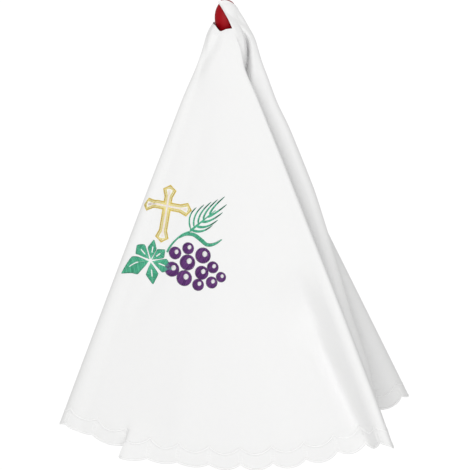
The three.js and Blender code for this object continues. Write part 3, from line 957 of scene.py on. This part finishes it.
# the vine leaf: lobes round a centre, each with a slit for its vein
leafSizes = {"at": (-0.0405, -0.0355), "slit": 0.0008, "slitFrom": 0.34, "slitTo": 0.7,
             "closed": 0.00008, "start": 0.0022, "slope": 0.0016, "footRound": 0.85,
             "tipRound": 0.95, "outline": 0.0006, "outlineThread": 0.00035, "least": 0.0002,
             "shortest": 0.0007, "steps": 28}
lobeColumns = ("turn", "length", "left", "right", "widest", "lean")
lobeRows = (
    (0, 0.0235, 0.0062, 0.005, 0.52, 0.0),
    (51, 0.024, 0.0088, 0.0076, 0.68, 0.0),
    (118, 0.04, 0.015, 0.011, 0.46, 0.2),
    (195, 0.0265, 0.0082, 0.0075, 0.52, 0.0),
    (259, 0.0255, 0.009, 0.009, 0.6, -0.1),
    (317, 0.02, 0.0062, 0.0072, 0.62, 0.0),
)


def makeLeaf(sizes):
    sets, edges = [], []
    for lobe in named(lobeColumns, lobeRows):
        angle = math.radians(lobe["turn"])
        way = np.array([-math.sin(angle), math.cos(angle)])
        side = np.array([math.cos(angle), math.sin(angle)])
        t = np.linspace(0, 1, sizes["steps"])
        rise = np.where(t < lobe["widest"], (t / lobe["widest"]) ** sizes["footRound"],
                        ((1 - t) / (1 - lobe["widest"])) ** sizes["tipRound"])
        spine = np.array(sizes["at"]) + way * sizes["start"] + np.outer(t * lobe["length"], way)
        spine = spine + np.outer(lobe["lean"] * lobe["left"] * np.sin(math.pi * t), side)
        parted = (t > sizes["slitFrom"]) & (t < sizes["slitTo"])
        slit = np.where(parted, sizes["slit"], sizes["closed"])
        for hand, reach in ((-1, lobe["left"]), (1, lobe["right"])):
            half = reach * rise + sizes["least"]
            inner = spine + side * (hand * slit)[:, None]
            outer = spine + side * (hand * half)[:, None] + way * sizes["slope"]
            starts, ends = railStrands(inner, outer)
            longEnough = np.hypot(*(ends - starts).T) > sizes["shortest"]
            sets.append((starts[longEnough], ends[longEnough]))
            edges.append(ropeStrands(outer, sizes["outline"]))
    fill = makeStrands("vine_leaf_satin", sets, "green", broadStrand, pad=motif["pad"] * 0.8)
    outline = makeStrands("vine_leaf_outline", edges, "darkGreen", sizes["outline"],
                          sizes["outlineThread"], rope["pad"], steps=2)
    return [fill, outline]


leafPieces = makeLeaf(leafSizes)
print("vine leaf stitched")


# the ear of wheat: curved satin awns on both sides of a spine, green at the foot, dark at the tip,
# with a dark rope along one side of each awn as painted shadow
wheatSizes = {"base": (0.0046, 0.0121), "spineEnd": (0.03, 0.04), "bulge": 2.4, "lean": 1.25,
              "wide": 0.003, "tip": 0.001, "footShare": 0.4, "footRate": 5, "tipShare": 0.2,
              "tipRate": 8, "slant": 0.001, "steps": 40, "darkFrom": 0.66, "spineFrom": -0.02,
              "spineTo": 1.12, "spineSteps": 30, "spineWide": 0.0016, "spineTip": 0.0004,
              "strand": 0.9, "rope": 0.0006}
awnColumns = ("at", "hand", "length", "out")
awnRows = (
    (0.02, 1, 0.0235, 0.0185), (0.16, 1, 0.0285, 0.015), (0.34, 1, 0.0315, 0.0118),
    (0.56, 1, 0.032, 0.0088), (0.84, 1, 0.031, 0.006), (0.05, -1, 0.025, 0.0125),
    (0.26, -1, 0.027, 0.0115), (0.5, -1, 0.029, 0.008), (0.76, -1, 0.03, 0.0035),
)


def makeWheat(sizes):
    base, spineEnd = np.array(sizes["base"]), np.array(sizes["spineEnd"])
    way = (spineEnd - base) / np.hypot(*(spineEnd - base))
    side = np.array([-way[1], way[0]])
    t = np.linspace(0, 1, sizes["steps"])
    slant, strand = way * sizes["slant"], motif["strand"] * sizes["strand"]
    dark = int(sizes["darkFrom"] * sizes["steps"])
    lower, upper, edges = [], [], []
    for awn in named(awnColumns, awnRows):
        start = mix(base, spineEnd, awn["at"])
        out = awn["hand"] * awn["out"] * (1 - (1 - t) ** sizes["bulge"])
        line = start + np.outer(awn["length"] * t ** sizes["lean"], way) + np.outer(out, side)
        half = mix(sizes["wide"], sizes["tip"], t) / 2
        half = half * np.minimum(1, sizes["footShare"] + sizes["footRate"] * t)
        half = half * np.minimum(1, sizes["tipShare"] + sizes["tipRate"] * (1 - t))
        railA, railB = ribbonRails(line, half)
        lower.append(railStrands(railA[:dark] + slant, railB[:dark], strand))
        upper.append(railStrands(railA[dark - 1:] + slant, railB[dark - 1:], strand))
        # a dark green rope along one side of each awn, stitched in as painted shadow
        edges.append(ropeStrands(railB if awn["hand"] > 0 else railA, sizes["rope"]))
    steps = sizes["spineSteps"]
    along = np.linspace(sizes["spineFrom"], sizes["spineTo"], steps)
    halfSpine = np.linspace(sizes["spineWide"], sizes["spineTip"], steps)
    spineA, spineB = ribbonRails(mix(base, spineEnd, along[:, None]), halfSpine)
    lower.append(railStrands(spineA + slant, spineB))
    return [makeStrands("wheat_painted_shadow_edges", edges, "darkGreen", sizes["rope"], pad=rope["pad"], steps=2),
            makeStrands("wheat_satin", lower, "green", steps=3),
            makeStrands("wheat_tips", upper, "darkGreen", steps=3)]


wheatPieces = makeWheat(wheatSizes)

# the stem, and the long thin leaf that curls off it
stemSizes = {"top": 0.0009, "foot": 0.0016, "stemSlant": 0.0006, "leafHalf": 0.0021,
             "leafEnds": 0.0002, "leafFrom": 0.02, "leafTo": 0.985, "leafRound": 0.6,
             "leafSlant": 0.0008, "rope": 0.0005}
stemLine = curvePoints([(0.004, 0.0115), (-0.005, 0.006), (-0.013, -0.003), (-0.019, -0.013),
                        (-0.0215, -0.0205)])
longLeafLine = curvePoints([(-0.0085, 0.0005), (-0.001, 0.0065), (0.0095, 0.008), (0.0195, 0.0035),
                            (0.029, -0.0015), (0.0385, 0.001), (0.0475, 0.0085)])


def makeStem(sizes):
    t = np.clip(np.linspace(0, 1, len(longLeafLine)), sizes["leafFrom"], sizes["leafTo"])
    half = sizes["leafHalf"] * np.sin(math.pi * t) ** sizes["leafRound"] + sizes["leafEnds"]
    leafA, leafB = ribbonRails(longLeafLine, half)
    stemA, stemB = ribbonRails(stemLine, np.linspace(sizes["top"], sizes["foot"], len(stemLine)))
    sets = [railStrands(leafA + np.array([sizes["leafSlant"], 0]), leafB),
            railStrands(stemA, stemB + np.array([sizes["stemSlant"], 0]))]
    edges = [ropeStrands(rail, sizes["rope"]) for rail in (leafA, leafB, stemA)]
    return [makeStrands("stem_and_leaf_satin", sets, "green", broadStrand),
            makeStrands("stem_and_leaf_outline", edges, "darkGreen", sizes["rope"], pad=rope["pad"],
                        steps=2)]


stemPieces = makeStem(stemSizes)
print("wheat and stem stitched")


# the ladders of small bars at the notches of the border
ladder = {"rungs": 4, "width": 0.0052, "from": 0.0035, "step": 0.003, "thick": 0.0006,
          "high": 0.55, "sink": 0.0002, "nearby": 0.0004}


def makeLadders(sizes):
    notches = alongHem(1)
    barFaces = ((0, 3, 4, 1), (1, 4, 5, 2), (2, 5, 3, 0), (0, 1, 2), (3, 5, 4))
    points, faces = [], []

    def bar(aside, reach, lengthAlong, lengthDown):
        # a three-sided bar beside each notch, along the hem or down the cloth
        nearAlong, nearDown = (0, sizes["nearby"]) if lengthAlong else (sizes["nearby"], 0)
        rings = []
        for way in (-0.5, 0.5):
            a, r = notches + aside + way * lengthAlong, reach + way * lengthDown
            place = placeAlongHem(a)
            middle, out = clothPoint(place, r), clothNormal(place, r)
            beside = clothPoint(placeAlongHem(a + nearAlong), r + nearDown) - middle
            beside = beside / np.maximum(np.linalg.norm(beside, axis=-1, keepdims=True), 1e-9)
            lift, half = clothCut["thick"] / 2, beside * sizes["thick"] / 2
            rings.append([middle + out * (lift - sizes["sink"]) + half,
                          middle + out * (lift + sizes["thick"] * sizes["high"]),
                          middle + out * (lift - sizes["sink"]) - half])
        for k in range(len(notches)):
            base = len(points)
            points.extend([ring[j][k] for ring in rings for j in range(3)])
            faces.extend([tuple(base + j for j in corners) for corners in barFaces])

    edge = clothCut["radius"] - clothCut["scallopDepth"]
    for k in range(sizes["rungs"]):
        bar(0, edge - sizes["from"] - k * sizes["step"], sizes["width"], 0)
    middleReach = edge - sizes["from"] - (sizes["rungs"] - 1) * sizes["step"] / 2
    for way in (-1, 1):
        bar(way * sizes["width"] / 2, middleReach, 0, sizes["rungs"] * sizes["step"])
    piece = newPiece("border_ladders", points, faces, threads["white"], smooth=False)
    pointNormalsOut(piece)
    giveTones(piece, np.full(len(points), 0.5))
    return piece


ladders = makeLadders(ladder)
print("ladders made")


# the red peg
pegSizes = {"rodRadius": 0.0025, "rodTop": -0.0053, "rodEdge": 0.0004, "plateRadius": 0.02,
            "plateThick": 0.005, "plateEdge": 0.0008}
redGloss = {"dark": (0.3, 0.0, 0.004, 1), "light": (0.4, 0.001, 0.008, 1), "grain": 60.0,
            "detail": 3.0, "bump": 0.08, "bumpHigh": 0.0004, "rough": 0.45, "specular": 0.15}


def makeRed(look):
    material, nodes, links, shader = newMaterial("crimson gloss")
    cloud = addGrain(nodes, links, shader, look)
    mixColours(nodes, links, cloud, look["dark"], look["light"], shader)
    return material


redMaterial = makeRed(redGloss)


def applyPlace(piece):
    selectOnly(piece)
    bpy.ops.object.transform_apply(location=True, rotation=True, scale=True)


def finishPart(piece, name, replaced):
    applyPlace(piece)
    smoothUnder(piece, 40)
    piece.name = name
    piece.data.materials.clear()
    piece.data.materials.append(redMaterial)
    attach(piece, "root")
    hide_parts(replaced)
    return piece


def makePeg(sizes):
    bpy.ops.mesh.primitive_uv_sphere_add(segments=48, ring_count=32, radius=1,
                                         location=(knob["x"], 0, knob["z"] - drop))
    egg = bpy.context.object
    egg.scale = (knob["halfWide"], knob["halfDeep"], knob["halfHigh"])
    applyPlace(egg)
    rodEnd = knob["z"] / 2 - drop
    bpy.ops.mesh.primitive_cylinder_add(vertices=32, radius=sizes["rodRadius"],
                                        depth=sizes["rodTop"] - rodEnd,
                                        location=(0, 0, (sizes["rodTop"] + rodEnd) / 2))
    rod = bpy.context.object
    applyPlace(rod)
    useModifier(rod, "BEVEL", width=sizes["rodEdge"], segments=2, limit_method="ANGLE")
    useModifier(egg, "BOOLEAN", operation="UNION", object=rod, solver="EXACT")
    bpy.data.objects.remove(rod)
    return finishPart(egg, "red_peg", "peg")


def makePlate(sizes):
    bpy.ops.mesh.primitive_cylinder_add(vertices=64, radius=sizes["plateRadius"],
                                        depth=sizes["plateThick"],
                                        location=(0, 0, -sizes["plateThick"] / 2))
    plate = bpy.context.object
    useModifier(plate, "BEVEL", width=sizes["plateEdge"], segments=3, limit_method="ANGLE")
    return finishPart(plate, "red_plate", "peg_plate")


makePeg(pegSizes)
makePlate(pegSizes)
print("peg and plate made")
